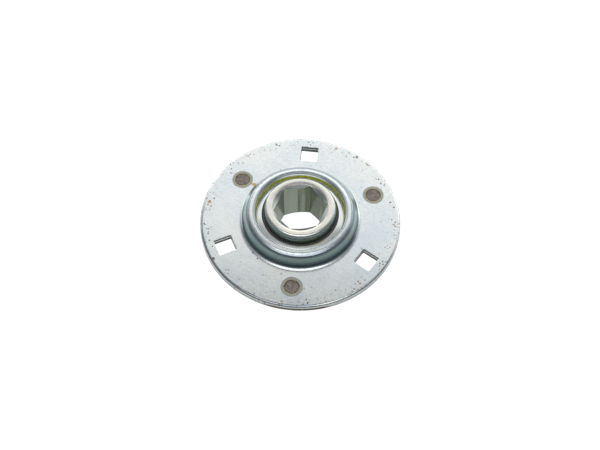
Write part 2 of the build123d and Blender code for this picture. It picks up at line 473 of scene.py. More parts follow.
def inner_ring_work(sizes):
    """Inner ring: turned outside, and a hexagon bore that its lead-in cuts in six scallops."""
    work = bmesh.new()
    top = sizes.half_width
    outside = rounded(
        [
            (sizes.chamfer_radius + 0.14 * MM, top, 0),
            (sizes.land_radius, top, sizes.corner),
            (sizes.land_radius, 0, 0),
        ],
        closed=False,
    )[:-1]
    upper = outside + [(sizes.land_radius, 7.5 * MM), (sizes.land_radius, 3.4 * MM)]
    lower = [(radius, -height) for radius, height in reversed(upper)]
    outline = upper + groove_arc(sizes) + lower
    slope = math.tan(sizes.chamfer_angle)
    edge_break = 0.07 * MM
    corner_angles = [sizes.flat_angle + math.pi / 6 + math.pi / 3 * index for index in range(6)]
    angles = [
        corner_angles[index] + math.pi / 3 * step / FLAT_STEPS
        for index in range(6)
        for step in range(FLAT_STEPS)
    ]
    chamfer_rows = (0, 0.33, 0.66, 1)
    bore_rows = (0.985, 0.9, 0.5, 0, -0.5, -0.9, -0.985)
    columns = []
    for angle in angles:
        hexagon = hexagon_radius(sizes, angle)
        meet = top - (sizes.chamfer_radius - hexagon) * slope
        points = list(outline)
        lead = []
        for part in chamfer_rows:
            radius = sizes.chamfer_radius + (hexagon - sizes.chamfer_radius) * part
            height = top - edge_break + (meet - top + edge_break) * part
            lead.append((radius, height))
        points += [(radius, -height) for radius, height in lead]
        points += [(hexagon, meet * part) for part in reversed(bore_rows)]
        points += list(reversed(lead))
        turn = Vector((math.cos(angle), math.sin(angle), 0))
        columns.append([work.verts.new(turn * radius + Vector((0, 0, height))) for radius, height in points])
    skin(work, columns, closed=True)
    return work


def cap_work(sizes):
    """Seal cap: rim in its seat, a step up, and a ring whose inner edge curls over the rubber."""
    sheet = sizes.cap_sheet
    outline = rounded(
        [
            (22.6 * MM, 5.0 * MM - sheet, 0),
            (22.6 * MM, 5.0 * MM, 0.2 * MM),
            (21.15 * MM, 5.0 * MM, 0.25 * MM),
            (20.85 * MM, 5.8 * MM, 0.25 * MM),
            (19.4 * MM, 6.1 * MM, 2.0 * MM),
            (18.1 * MM, CAP_HIGH.z + 0.02 * MM, 0.2 * MM),
            (18.1 * MM, 5.85 * MM, 0),
            (20.7 * MM, 5.3 * MM, 0),
            (21.0 * MM, 4.5 * MM, 0),
        ]
    )
    return turned(outline)


def lip_work(sizes):
    """Rubber lip: bonded body, two fine ribs on its face and a thin edge beside the land."""
    edge = sizes.land_radius + sizes.lip_gap
    outline = rounded(
        [
            (20.7 * MM, 5.3 * MM, 0),
            (18.1 * MM, 5.85 * MM, 0),
            (18.0 * MM, 5.86 * MM, 0.04 * MM),
            (17.72 * MM, 5.62 * MM, 0.1 * MM),
            (17.5 * MM, 5.72 * MM, 0.1 * MM),
            (17.25 * MM, 5.55 * MM, 0.1 * MM),
            (edge + 0.06 * MM, 5.74 * MM, 0.05 * MM),
            (edge, 5.6 * MM, 0),
            (edge, 4.95 * MM, 0),
            (18.0 * MM, 4.95 * MM, 0),
            (18.7 * MM, 5.1 * MM, 0),
            (20.7 * MM, 5.1 * MM, 0),
        ]
    )
    return turned(outline)


def grease_work():
    """Bead of grease squeezed up between the seal cap and the crown's lip."""
    outline = rounded(
        [
            (22.55 * MM, 5.01 * MM, 0),
            (21.2 * MM, 5.01 * MM, 0.05 * MM),
            (21.05 * MM, 6.0 * MM, 0.3 * MM),
            (21.35 * MM, 6.68 * MM, 0.2 * MM),
            (22.55 * MM, 6.72 * MM, 0),
        ]
    )

    def ooze(place):
        if place.z < 5.1 * MM or place.xy.length > 22 * MM:
            return Vector((0, 0, 0))
        swell = 0.6 * noise.noise(place * 220) + 0.4 * noise.noise(place * 900)
        outwards = Vector((place.x, place.y, 0)).normalized()
        return outwards * (0.12 * MM * swell) - Vector((0, 0, 0.1 * MM * abs(swell)))

    return turned(outline, ooze)


# ---------------------------------------------------------------- node work


def wire(tree, kind, inputs=None, **settings):
    """A node with its settings, and each input set to a value or joined to a socket."""
    made = tree.nodes.new(kind)
    for key, value in settings.items():
        setattr(made, key, value)
    for key, value in (inputs or {}).items():
        if isinstance(value, bpy.types.NodeSocket):
            tree.links.new(value, made.inputs[key])
        else:
            made.inputs[key].default_value = value
    return made


def calc(tree, operation, first, second=0.0):
    """Result of a sum on one or two values or sockets."""
    return wire(tree, "ShaderNodeMath", {0: first, 1: second}, operation=operation).outputs[0]


def times(tree, first, *others):
    """Product of several values or sockets."""
    for other in others:
        first = calc(tree, "MULTIPLY", first, other)
    return first


def largest(tree, first, *others):
    """The largest of several values or sockets."""
    for other in others:
        first = calc(tree, "MAXIMUM", first, other)
    return first


def arrows(tree, operation, first, second=(0, 0, 0)):
    """Outputs of a sum on vectors."""
    return wire(tree, "ShaderNodeVectorMath", {0: first, 1: second}, operation=operation).outputs


def parts_of(tree, place):
    """The three parts of a vector."""
    return wire(tree, "ShaderNodeSeparateXYZ", {0: place}).outputs


def spread(tree, value, low, high, to_low=0.0, to_high=1.0):
    """A value eased from one range into another, and held at its ends."""
    inputs = {0: value, 1: low, 2: high, 3: to_low, 4: to_high}
    return wire(tree, "ShaderNodeMapRange", inputs, interpolation_type="SMOOTHSTEP").outputs[0]


def mixed(tree, amount, first, second):
    """One colour laid over another by an amount."""
    inputs = {0: amount, 6: padded_colour(first), 7: padded_colour(second)}
    return wire(tree, "ShaderNodeMix", inputs, data_type="RGBA").outputs[2]


def shaded(tree, tone, amount):
    """A colour made lighter or darker by a factor."""
    return wire(tree, "ShaderNodeVectorMath", {0: tone, "Scale": amount}, operation="SCALE").outputs[0]


def padded_colour(value):
    """A colour with its alpha, or the socket as it is."""
    if isinstance(value, bpy.types.NodeSocket):
        return value
    return (*tuple(value)[:3], 1.0)


def clouds(tree, place, scale, detail=3.0, roughness=0.5):
    """Soft noise at a place."""
    inputs = {"Vector": place, "Scale": scale, "Detail": detail, "Roughness": roughness}
    return wire(tree, "ShaderNodeTexNoise", inputs).outputs["Fac"]


def group(name, inputs, outputs):
    """An empty shader group with its named sockets, its tree, its entry and its exit."""
    tree = bpy.data.node_groups.new(name, "ShaderNodeTree")
    for socket_name, kind, default in inputs:
        socket = tree.interface.new_socket(socket_name, in_out="INPUT", socket_type=kind)
        socket.default_value = default
    for socket_name, kind in outputs:
        tree.interface.new_socket(socket_name, in_out="OUTPUT", socket_type=kind)
    entry = tree.nodes.new("NodeGroupInput")
    leave = tree.nodes.new("NodeGroupOutput")
    return tree, entry.outputs, leave.inputs


FLOAT = "NodeSocketFloat"
VECTOR = "NodeSocketVector"
COLOUR = "NodeSocketColor"


def object_place(tree):
    """Position on the piece itself, in metres."""
    return wire(tree, "ShaderNodeTexCoord").outputs["Object"]


def build_brush_lines():
    """Group: fine straight lines left by rolling or broaching."""
    tree, taken, given = group(
        "Brush lines",
        [("Turn", FLOAT, 0.0), ("Fineness", FLOAT, 2500.0), ("Length", FLOAT, 0.04), ("Upright", FLOAT, 0.0)],
        [("Lines", FLOAT)],
    )
    turn = {"Vector": object_place(tree), "Angle": taken["Turn"]}
    split = parts_of(tree, wire(tree, "ShaderNodeVectorRotate", turn, rotation_type="Z_AXIS").outputs[0])
    fineness = taken["Fineness"]
    x = times(tree, split[0], times(tree, fineness, largest(tree, taken["Length"], taken["Upright"])))
    y = times(tree, split[1], fineness)
    flat_z = calc(tree, "SUBTRACT", 1.0, times(tree, taken["Upright"], 0.97))
    z = times(tree, split[2], times(tree, fineness, flat_z))
    place = wire(tree, "ShaderNodeCombineXYZ", {0: x, 1: y, 2: z}).outputs[0]
    tree.links.new(clouds(tree, place, 1.0, 4.0, 0.7), given["Lines"])


def build_specks():
    """Group: small scattered specks, each with its own size."""
    tree, taken, given = group(
        "Specks",
        [("Scale", FLOAT, 400.0), ("Share", FLOAT, 0.2), ("Size", FLOAT, 0.25), ("Seed", FLOAT, 0.0)],
        [("Mask", FLOAT)],
    )
    place = object_place(tree)
    fine = {"Vector": place, "Scale": times(tree, taken["Scale"], 2.5), "Detail": 2.0}
    ragged = wire(tree, "ShaderNodeTexNoise", fine).outputs["Color"]
    moved = arrows(tree, "MULTIPLY", ragged, (0.7 * MM, 0.7 * MM, 0.7 * MM))[0]
    shift = wire(tree, "ShaderNodeCombineXYZ", {0: taken["Seed"], 1: taken["Seed"]}).outputs[0]
    shifted = arrows(tree, "ADD", arrows(tree, "ADD", place, moved)[0], shift)[0]
    cells = wire(tree, "ShaderNodeTexVoronoi", {"Vector": shifted, "Scale": taken["Scale"]})
    draw = wire(tree, "ShaderNodeSeparateColor", {0: cells.outputs["Color"]}).outputs
    chosen = calc(tree, "LESS_THAN", draw[0], taken["Share"])
    size = times(tree, taken["Size"], calc(tree, "ADD", 0.35, draw[1]))
    inside = calc(tree, "DIVIDE", cells.outputs["Distance"], size)
    tree.links.new(times(tree, spread(tree, inside, 0.6, 1.1, 1.0, 0.0), chosen), given["Mask"])


def build_patch():
    """Group: one ragged patch round a point of the piece."""
    tree, taken, given = group(
        "Patch",
        [
            ("Centre", VECTOR, (0, 0, 0)),
            ("Radius", FLOAT, 1 * MM),
            ("Raggedness", FLOAT, 0.6),
            ("Noise", FLOAT, 0.5),
        ],
        [("Mask", FLOAT)],
    )
    away = arrows(tree, "DISTANCE", object_place(tree), taken["Centre"])["Value"]
    rough = calc(tree, "SUBTRACT", taken["Noise"], 0.5)
    pushed = times(tree, rough, times(tree, taken["Raggedness"], 3.0))
    inside = calc(tree, "ADD", calc(tree, "DIVIDE", away, taken["Radius"]), pushed)
    tree.links.new(spread(tree, inside, 0.65, 1.05, 1.0, 0.0), given["Mask"])


def build_ring_band():
    """Group: a band between two radii, with its ends softened and broken up."""
    tree, taken, given = group(
        "Ring band",
        [
            ("Inner", FLOAT, 0.0),
            ("Outer", FLOAT, 100 * MM),
            ("Softness", FLOAT, 0.2 * MM),
            ("Wander", FLOAT, 0.0),
            ("Grain", FLOAT, 300.0),
        ],
        [("Mask", FLOAT)],
    )
    place = object_place(tree)
    radius = arrows(tree, "LENGTH", arrows(tree, "MULTIPLY", place, (1, 1, 0))[0])["Value"]
    rough = calc(tree, "SUBTRACT", clouds(tree, place, taken["Grain"]), 0.5)
    radius = calc(tree, "ADD", radius, times(tree, rough, taken["Wander"]))
    rise = spread(tree, radius, calc(tree, "SUBTRACT", taken["Inner"], taken["Softness"]), taken["Inner"])
    end = calc(tree, "ADD", taken["Outer"], taken["Softness"])
    fall = spread(tree, radius, taken["Outer"], end, 1.0, 0.0)
    tree.links.new(times(tree, rise, fall), given["Mask"])


def build_sector():
    """Group: a span of directions about the axis, softened at its ends."""
    tree, taken, given = group(
        "Sector",
        [("Middle", FLOAT, 0.0), ("Half span", FLOAT, 0.3), ("Softness", FLOAT, 0.1)],
        [("Mask", FLOAT)],
    )
    turn = {"Vector": object_place(tree), "Angle": times(tree, taken["Middle"], -1.0)}
    split = parts_of(tree, wire(tree, "ShaderNodeVectorRotate", turn, rotation_type="Z_AXIS").outputs[0])
    off = calc(tree, "ABSOLUTE", calc(tree, "ARCTAN2", split[1], split[0]))
    end = calc(tree, "ADD", taken["Half span"], taken["Softness"])
    tree.links.new(spread(tree, off, taken["Half span"], end, 1.0, 0.0), given["Mask"])


def build_tarnish():
    """Group: cloudy change between two colours."""
    tree, taken, given = group(
        "Tarnish",
        [
            ("First", COLOUR, (1, 1, 1, 1)),
            ("Second", COLOUR, (0, 0, 0, 1)),
            ("Scale", FLOAT, 60.0),
            ("Balance", FLOAT, 0.5),
        ],
        [("Colour", COLOUR)],
    )
    broad = clouds(tree, object_place(tree), taken["Scale"], 4.0, 0.6)
    centred = calc(tree, "ADD", calc(tree, "SUBTRACT", broad, 0.5), taken["Balance"])
    amount = spread(tree, centred, 0.3, 0.7)
    tree.links.new(mixed(tree, amount, taken["First"], taken["Second"]), given["Colour"])


def build_weld_heat(finishes):
    """Group: heat colours round the three welds, with how much they cover."""
    tree, taken, given = group(
        "Weld heat",
        [("Dent radius", FLOAT, 3.4 * MM), ("Halo radius", FLOAT, 5.2 * MM)],
        [("Colour", COLOUR), ("Mask", FLOAT)],
    )
    place = object_place(tree)
    flat = arrows(tree, "MULTIPLY", place, (1, 1, 0))[0]
    nearest = 1.0
    for radius, angle in WELD_PLACES:
        away = arrows(tree, "DISTANCE", flat, polar(radius, angle, 0))["Value"]
        nearest = calc(tree, "MINIMUM", away, nearest)
    rough = calc(tree, "SUBTRACT", clouds(tree, place, 700.0), 0.5)
    nearest = calc(tree, "ADD", nearest, times(tree, rough, 0.7 * MM))
    dent = calc(tree, "DIVIDE", nearest, taken["Dent radius"])
    straw = mixed(tree, spread(tree, dent, 1.12, 1.3), finishes.straw, finishes.weld_halo)
    dark = mixed(tree, spread(tree, dent, 1.0, 1.14), (0.045, 0.035, 0.03), straw)
    heat = mixed(tree, spread(tree, dent, 0.80, 0.95), finishes.weld_scale, dark)
    halo_end = calc(tree, "SUBTRACT", taken["Halo radius"], 0.3 * MM)
    tree.links.new(heat, given["Colour"])
    tree.links.new(spread(tree, nearest, halo_end, taken["Halo radius"], 1.0, 0.0), given["Mask"])


def new_material(name):
    """An empty node material with its tree and its shader."""
    material = bpy.data.materials.new(name)
    material.use_nodes = True
    tree = material.node_tree
    shader = tree.nodes["Principled BSDF"]
    return material, tree, shader


def bumped(tree, shader, height, depth, strength=1.0):
    """Joins a height to the shader's normal."""
    bump = wire(tree, "ShaderNodeBump", {"Height": height, "Distance": depth, "Strength": strength})
    tree.links.new(bump.outputs[0], shader.inputs["Normal"])


def shared(tree, name, **inputs):
    """Outputs of a shader group that is already built, put into a tree with its own values."""
    made = tree.nodes.new("ShaderNodeGroup")
    made.node_tree = bpy.data.node_groups[name]
    for key, value in inputs.items():
        socket = made.inputs[key.capitalize().replace("_", " ")]
        if isinstance(value, bpy.types.NodeSocket):
            tree.links.new(value, socket)
        elif socket.type == "RGBA":
            socket.default_value = padded_colour(value)
        else:
            socket.default_value = value
    return made.outputs


def band(tree, inner, outer, softness, wander=0.0, grain=300.0):
    """Mask of a band between two radii. All but its grain are in mm."""
    edges = {"inner": inner * MM, "outer": outer * MM, "softness": softness * MM, "wander": wander * MM}
    return shared(tree, "Ring band", grain=grain, **edges)["Mask"]


def sector(tree, middle, half_span, softness):
    """Mask of a span of directions. Its middle is in degrees, its half span and softness in radians."""
    middle = math.radians(middle)
    return shared(tree, "Sector", middle=middle, half_span=half_span, softness=softness)["Mask"]


def specks(tree, scale, share, size, seed):
    """Mask of small scattered specks."""
    return shared(tree, "Specks", scale=scale, share=share, size=size, seed=seed)["Mask"]


def patch(tree, centre, radius, raggedness, grain):
    """Mask of a ragged patch. Its radius is in mm."""
    shape = {"radius": radius * MM, "raggedness": raggedness}
    return shared(tree, "Patch", centre=centre, noise=grain, **shape)["Mask"]


def tarnished(tree, first, second, scale, balance=0.5):
    """Cloudy change between two colours."""
    return shared(tree, "Tarnish", first=first, second=second, scale=scale, balance=balance)["Colour"]


def fresh_grease(tree):
    """Mask of the directions where the grease is olive."""
    return sector(tree, 85, 1.75, 0.5)


def on_top(tree):
    """One on the upper half of the bearing and nought below it."""
    return calc(tree, "GREATER_THAN", parts_of(tree, object_place(tree))[2], 0.0)


# radius in mm, direction in degrees, size in mm, raggedness, amount
RUST_PATCHES = (
    (44.6, 175.0, 1.05, 0.75, 1.0),
    (43.3, 177.8, 0.55, 0.5, 1.0),
    (43.0, 171.8, 0.5, 0.5, 0.8),
    (29.6, 146.1, 1.15, 0.55, 0.9),
    (31.0, 147.0, 0.7, 0.55, 0.8),
    (44.3, 2.3, 0.6, 0.6, 0.9),
    (45.1, 1.2, 0.5, 0.6, 0.7),
    (44.5, 314.4, 0.6, 0.5, 1.0),
    (41.8, 299.2, 0.45, 0.5, 0.7),
    (45.9, 216.0, 0.8, 0.7, 0.9),
    (45.2, 191.5, 0.55, 0.7, 0.7),
    (45.3, 112.1, 0.7, 0.7, 0.7),
    (44.9, 73.3, 0.9, 0.8, 0.7),
    (45.8, 58.8, 0.9, 0.8, 0.7),
    (44.6, 132.0, 0.7, 0.8, 0.6),
    (29.2, 228.3, 0.4, 0.4, 1.0),
    (29.8, 235.3, 0.4, 0.4, 1.0),
    (43.9, 208.0, 0.4, 0.4, 0.9),
    (45.1, 266.0, 0.6, 0.6, 0.9),
    (45.2, 281.0, 0.5, 0.6, 0.9),
)


# painted reflections and shade on the crown: inner and outer radius, softness and wander in mm, grain,
# amount, tone
CROWN_PAINTED_LIGHT_BANDS = {
    "drawn wall": (26.5, 27.7, 0.3, 0.2, 300.0, 0.92, (0.11, 0.165, 0.19)),
    "cone": (25.1, 26.8, 0.3, 0.2, 300.0, 0.80, (0.44, 0.55, 0.54)),
    "lip": (0.0, 22.4, 0.3, 0.4, 500.0, 0.75, (0.36, 0.41, 0.41)),
    "bend": (27.8, 28.8, 0.3, 0.0, 300.0, 0.60, (0.64, 0.68, 0.70)),
    "fold": (25.2, 25.5, 0.2, 0.3, 300.0, 0.60, (0.16, 0.20, 0.22)),
    "shaded shoulder": (24.1, 25.1, 0.4, 1.2, 900.0, 0.78, (0.29, 0.34, 0.40)),
}
RIM_PAINTED_SHADE = (0.13, 0.16, 0.22)
SPECK_TONE = (0.29, 0.20, 0.12)
OLD_RUST = (0.20, 0.12, 0.07)
WORN_EDGE = (0.48, 0.51, 0.51)


def zinc_material(finishes):
    """Zinc plate of the flangettes: crown bands of painted reflection and shade, weld heat, specks, painted
    shade at the rim and matt cut edges.
    """
    material, tree, shader = new_material("zinc plate")
    place = object_place(tree)
    height = calc(tree, "ABSOLUTE", parts_of(tree, place)[2])
    lines = shared(tree, "Brush lines", turn=math.radians(28), fineness=3600.0, length=0.03)["Lines"]
    mottle = clouds(tree, place, 900.0, 5.0, 0.7)
    toned = tarnished(tree, finishes.zinc, finishes.zinc_shade, 42.0)
    toned = shaded(tree, toned, spread(tree, lines, 0.3, 0.7, 0.94, 1.04))
    toned = shaded(tree, toned, spread(tree, mottle, 0.3, 0.7, 0.90, 1.04))

    rim = band(tree, 47.4, 60.0, 0.1)
    edge = times(tree, rim, spread(tree, height, 0.9 * MM, 1.3 * MM, 1.0, 0.0))
    stripes = clouds(tree, arrows(tree, "MULTIPLY", place, (1, 1, 0.15))[0], 1800.0, 3.0)
    edge_tone = mixed(tree, spread(tree, stripes, 0.35, 0.65), WORN_EDGE, finishes.cut_edge)
    toned = mixed(tree, times(tree, edge, 0.85), toned, edge_tone)
    # painted shade on the upper part of the rim's rounding, over one span of directions
    shaded_rim_span = times(tree, band(tree, 46.3, 46.9, 0.3, 0.9, 260.0), sector(tree, 232, 0.75, 0.5))
    painted_rim_shade = times(tree, shaded_rim_span, calc(tree, "GREATER_THAN", height, 1.4 * MM))
    toned = mixed(tree, times(tree, painted_rim_shade, 0.6), toned, RIM_PAINTED_SHADE)
    # each band lays a painted reflection or painted shade over the crown's zinc colour
    for inner, outer, softness, wander, grain, amount, tone in CROWN_PAINTED_LIGHT_BANDS.values():
        mask = band(tree, inner, outer, softness, wander, grain)
        toned = mixed(tree, times(tree, mask, amount), toned, tone)

    near_rim = band(tree, 43.5, 46.9, 1.5, 3.0, 120.0)
    anywhere = times(tree, specks(tree, 620.0, 0.10, 0.28, 0.3), 0.45)
    spots = largest(tree, anywhere, times(tree, specks(tree, 760.0, 0.48, 0.34, 1.7), near_rim, 0.85))
    toned = mixed(tree, spots, toned, SPECK_TONE)
    upper = on_top(tree)
    grain = clouds(tree, place, 1100.0, 3.0, 0.6)
    for radius, angle, size, ragged, amount in RUST_PATCHES:
        mask = times(tree, patch(tree, polar(radius, angle), size, ragged, grain), amount, upper)
        tint = finishes.rust if size > 0.5 and radius < 45.2 else OLD_RUST
        toned = mixed(tree, mask, toned, tint)
    in_seam = spread(tree, height, 0.5 * MM, 1.1 * MM, 1.0, 0.0)
    grainy = spread(tree, clouds(tree, place, 900.0, 4.0, 0.7), 0.34, 0.46)
    seam_rust = times(tree, sector(tree, 275, 0.24, 0.12), in_seam, times(tree, grainy, rim))
    toned = mixed(tree, seam_rust, toned, finishes.dark_rust)
    heat = shared(tree, "Weld heat")
    heated = times(tree, heat["Mask"], spread(tree, height, 1.6 * MM, 1.8 * MM))
    toned = mixed(tree, times(tree, heated, 0.92), toned, heat["Colour"])
    tree.links.new(toned, shader.inputs["Base Color"])

    rusty = largest(tree, spots, seam_rust)
    dull = times(tree, largest(tree, rusty, heated, edge), 0.22)
    rough = calc(tree, "ADD", spread(tree, mottle, 0.3, 0.7, 0.19, 0.27), dull)
    tree.links.new(rough, shader.inputs["Roughness"])
    tree.links.new(calc(tree, "SUBTRACT", 1.0, times(tree, rusty, 0.8)), shader.inputs["Metallic"])
    relief = calc(tree, "ADD", times(tree, lines, 0.6), times(tree, mottle, 0.5))
    relief = calc(tree, "ADD", relief, times(tree, stripes, edge, 2.0))
    bumped(tree, shader, relief, 0.004 * MM, 0.5)
    return material


def punched_edge_material(finishes):
    """Dark, scored wall that the punch leaves in the bolt holes."""
    material, tree, shader = new_material("punched edge")
    scores = shared(tree, "Brush lines", fineness=3200.0, upright=1.0, length=1.0)["Lines"]
    tone = mixed(tree, spread(tree, scores, 0.35, 0.65), finishes.punched, (0.17, 0.195, 0.165))
    tree.links.new(tone, shader.inputs["Base Color"])
    tree.links.new(spread(tree, scores, 0.3, 0.7, 0.35, 0.5), shader.inputs["Roughness"])
    shader.inputs["Metallic"].default_value = 0.9
    bumped(tree, shader, scores, 0.02 * MM, 0.6)
    return material


def weld_material():
    """Mottled brown-grey scale of the weld dents."""
    material, tree, shader = new_material("weld scale")
    place = object_place(tree)
    grain = clouds(tree, place, 1400.0, 5.0, 0.75)
    light = mixed(tree, spread(tree, grain, 0.35, 0.68), (0.12, 0.095, 0.08), (0.52, 0.45, 0.42))
    scale = mixed(tree, 0.72, shared(tree, "Weld heat")["Colour"], light)
    pits = specks(tree, 900.0, 0.35, 0.3, 0.9)
    scale = mixed(tree, times(tree, pits, 0.7), scale, (0.05, 0.035, 0.03))
    tree.links.new(scale, shader.inputs["Base Color"])
    tree.links.new(spread(tree, grain, 0.3, 0.7, 0.45, 0.62), shader.inputs["Roughness"])
    shader.inputs["Metallic"].default_value = 0.6
    bumped(tree, shader, calc(tree, "SUBTRACT", grain, times(tree, pits, 0.5)), 0.06 * MM, 0.8)
    return material


# painted reflections at the back of the bore: start and end across the ring in mm, and amount
BORE_PAINTED_REFLECTIONS = ((-9.0, -2.1, 0.8), (-0.6, 1.4, 0.35))
# direction in degrees, height and size in mm
RING_RUST = ((288.0, 9.2, 0.55), (291.5, 8.9, 0.45), (279.5, 9.4, 0.35))
# painted teal reflection on the ring's side
LAND_PAINTED_REFLECTION = (0.30, 0.39, 0.37)
# painted blue-grey reflection on the lead-in
LEAD_IN_PAINTED_REFLECTION = (0.46, 0.53, 0.55)
MOUTH_TONE = (0.40, 0.32, 0.23)


def bore_colour(tree, finishes, place, scores):
    """Broached flats, scored along the axis, with lighter stripes of painted reflection on one of them, at
    the back.
    """
    tone = mixed(tree, spread(tree, scores, 0.3, 0.7), (0.10, 0.122, 0.075), finishes.bore)
    broad = clouds(tree, arrows(tree, "MULTIPLY", place, (1, 1, 0.06))[0], 330.0, 2.0)
    tone = mixed(tree, spread(tree, broad, 0.46, 0.64, 0.0, 0.6), tone, (0.32, 0.37, 0.29))
    split = parts_of(tree, place)
    back = calc(tree, "GREATER_THAN", split[1], 0.0)
    # lighter stripes of painted reflection, only on the back half of the bore
    for start, stop, amount in BORE_PAINTED_REFLECTIONS:
        rise = spread(tree, split[0], start * MM, (start + 0.3) * MM)
        fall = spread(tree, split[0], (stop - 0.7) * MM, stop * MM, 1.0, 0.0)
        tone = mixed(tree, times(tree, rise, fall, back, amount), tone, (0.36, 0.41, 0.34))
    return tone


def inner_ring_material(finishes):
    """Turned steel of the inner ring, with its broached bore, a painted teal reflection on its side, a
    painted blue-grey reflection on its lead-in, and specks.
    """
    material, tree, shader = new_material("turned ring steel")
    place = object_place(tree)
    facing = wire(tree, "ShaderNodeTexCoord").outputs["Normal"]
    lean = calc(tree, "ABSOLUTE", parts_of(tree, facing)[2])
    on_flats = times(tree, band(tree, 0.0, 12.84, 0.02), spread(tree, lean, 0.1, 0.3, 1.0, 0.0))
    lead_in = times(tree, spread(tree, lean, 0.3, 0.4), spread(tree, lean, 0.85, 0.95, 1.0, 0.0))
    mouth = band(tree, 12.85, 13.05, 0.12, 0.4, 700.0)
    scores = shared(tree, "Brush lines", fineness=2600.0, upright=1.0, length=1.0)["Lines"]
    toned = tarnished(tree, finishes.ring, (0.78, 0.76, 0.71), 160.0)
    # the land and its rounded corner get a painted teal reflection
    toned = mixed(tree, band(tree, 16.35, 30.0, 0.25), toned, LAND_PAINTED_REFLECTION)
    # faces that lean between upright and flat, the lead-in among them, get a painted blue-grey reflection
    toned = mixed(tree, times(tree, lead_in, 0.7), toned, LEAD_IN_PAINTED_REFLECTION)
    toned = mixed(tree, times(tree, mouth, 0.6), toned, MOUTH_TONE)
    toned = mixed(tree, on_flats, toned, bore_colour(tree, finishes, place, scores))

    small = times(tree, specks(tree, 1500.0, 0.10, 0.26, 2.2), 0.55)
    spots = largest(tree, small, times(tree, specks(tree, 600.0, 0.07, 0.2, 3.1), 0.75))
    toned = mixed(tree, spots, toned, (0.20, 0.13, 0.09))
    grain = clouds(tree, place, 1500.0)
    rust = largest(
        tree, *(patch(tree, polar(16.85, angle, level), size, 0.5, grain) for angle, level, size in RING_RUST)
    )
    toned = mixed(tree, times(tree, rust, 0.8), toned, (0.38, 0.17, 0.05))
    tree.links.new(toned, shader.inputs["Base Color"])

    mottle = clouds(tree, place, 1200.0, 4.0, 0.7)
    rough = calc(tree, "ADD", spread(tree, mottle, 0.3, 0.7, 0.16, 0.26), times(tree, spots, 0.3))
    tree.links.new(calc(tree, "ADD", rough, times(tree, lead_in, 0.16)), shader.inputs["Roughness"])
    tree.links.new(calc(tree, "SUBTRACT", 1.0, times(tree, spots, 0.7)), shader.inputs["Metallic"])
    relief = calc(tree, "ADD", times(tree, scores, on_flats), times(tree, mottle, 0.4))
    bumped(tree, shader, relief, 0.005 * MM, 0.5)
    return material


def cap_material(finishes):
    """Satin plate of the seal cap, with a smear of grease by the rubber and more at its rim."""
    material, tree, shader = new_material("seal cap plate")
    place = object_place(tree)
    toned = tarnished(tree, finishes.cap, (0.95, 0.97, 0.96), 130.0, 0.45)
    thick = sector(tree, 292, 0.22, 0.35)
    thin = times(tree, sector(tree, 283, 0.8, 0.6), 0.3)
    smear = times(tree, band(tree, 17.9, 18.35, 0.3, 1.2, 420.0), largest(tree, thick, thin), on_top(tree))
    toned = mixed(tree, times(tree, smear, 0.85), toned, (0.62, 0.50, 0.10))
    rim_film = times(tree, band(tree, 21.05, 30.0, 0.3, 0.6, 500.0), fresh_grease(tree), 0.8)
    toned = mixed(tree, rim_film, toned, finishes.grease)
    dust = specks(tree, 700.0, 0.08, 0.25, 4.4)
    toned = mixed(tree, times(tree, dust, 0.4), toned, (0.35, 0.33, 0.30))
    tree.links.new(toned, shader.inputs["Base Color"])
    mottle = clouds(tree, place, 1500.0, 4.0, 0.7)
    tree.links.new(spread(tree, mottle, 0.3, 0.7, 0.15, 0.23), shader.inputs["Roughness"])
    shader.inputs["Metallic"].default_value = 0.85
    bumped(tree, shader, mottle, 0.002 * MM, 0.4)
    return material


def rubber_material(finishes):
    """Matt nitrile rubber with a trace of dust."""
    material, tree, shader = new_material("nitrile rubber")
    place = object_place(tree)
    grain = clouds(tree, place, 2500.0, 4.0, 0.7)
    tone = mixed(tree, spread(tree, grain, 0.3, 0.7), finishes.rubber, (0.155, 0.15, 0.14))
    dust = specks(tree, 800.0, 0.2, 0.22, 5.2)
    tone = mixed(tree, times(tree, dust, 0.35), tone, (0.16, 0.15, 0.13))
    tree.links.new(tone, shader.inputs["Base Color"])
    tree.links.new(spread(tree, grain, 0.3, 0.7, 0.42, 0.62), shader.inputs["Roughness"])
    shader.inputs["Metallic"].default_value = 0.0
    shader.inputs["Specular IOR Level"].default_value = 0.5
    bumped(tree, shader, grain, 0.02 * MM, 0.6)
    return material


def grease_material(finishes):
    """Wet grease, olive at the back and sides and pale in front."""
    material, tree, shader = new_material("olive grease")
    lumps = clouds(tree, object_place(tree), 700.0, 4.0, 0.6)
    tone = mixed(tree, spread(tree, lumps, 0.35, 0.65), finishes.grease, (0.78, 0.76, 0.12))
    tone = mixed(tree, fresh_grease(tree), (0.86, 0.86, 0.80), tone)
    tree.links.new(tone, shader.inputs["Base Color"])
    tree.links.new(spread(tree, lumps, 0.3, 0.7, 0.22, 0.4), shader.inputs["Roughness"])
    shader.inputs["Metallic"].default_value = 0.0
    bumped(tree, shader, lumps, 0.1 * MM, 0.6)
    return material


# name, light and dark tone, smoothest and roughest, size of the clouds
HIDDEN_STEELS = (
    ("polished ball steel", (0.80, 0.80, 0.81), (0.70, 0.71, 0.72), 0.04, 0.10, 300.0),
    ("ground ring steel", (0.62, 0.64, 0.62), (0.50, 0.53, 0.50), 0.20, 0.32, 180.0),
    ("pressed cage steel", (0.60, 0.61, 0.62), (0.46, 0.47, 0.48), 0.32, 0.46, 220.0),
    ("inner cap plate", (0.76, 0.77, 0.76), (0.62, 0.65, 0.66), 0.30, 0.42, 150.0),
)


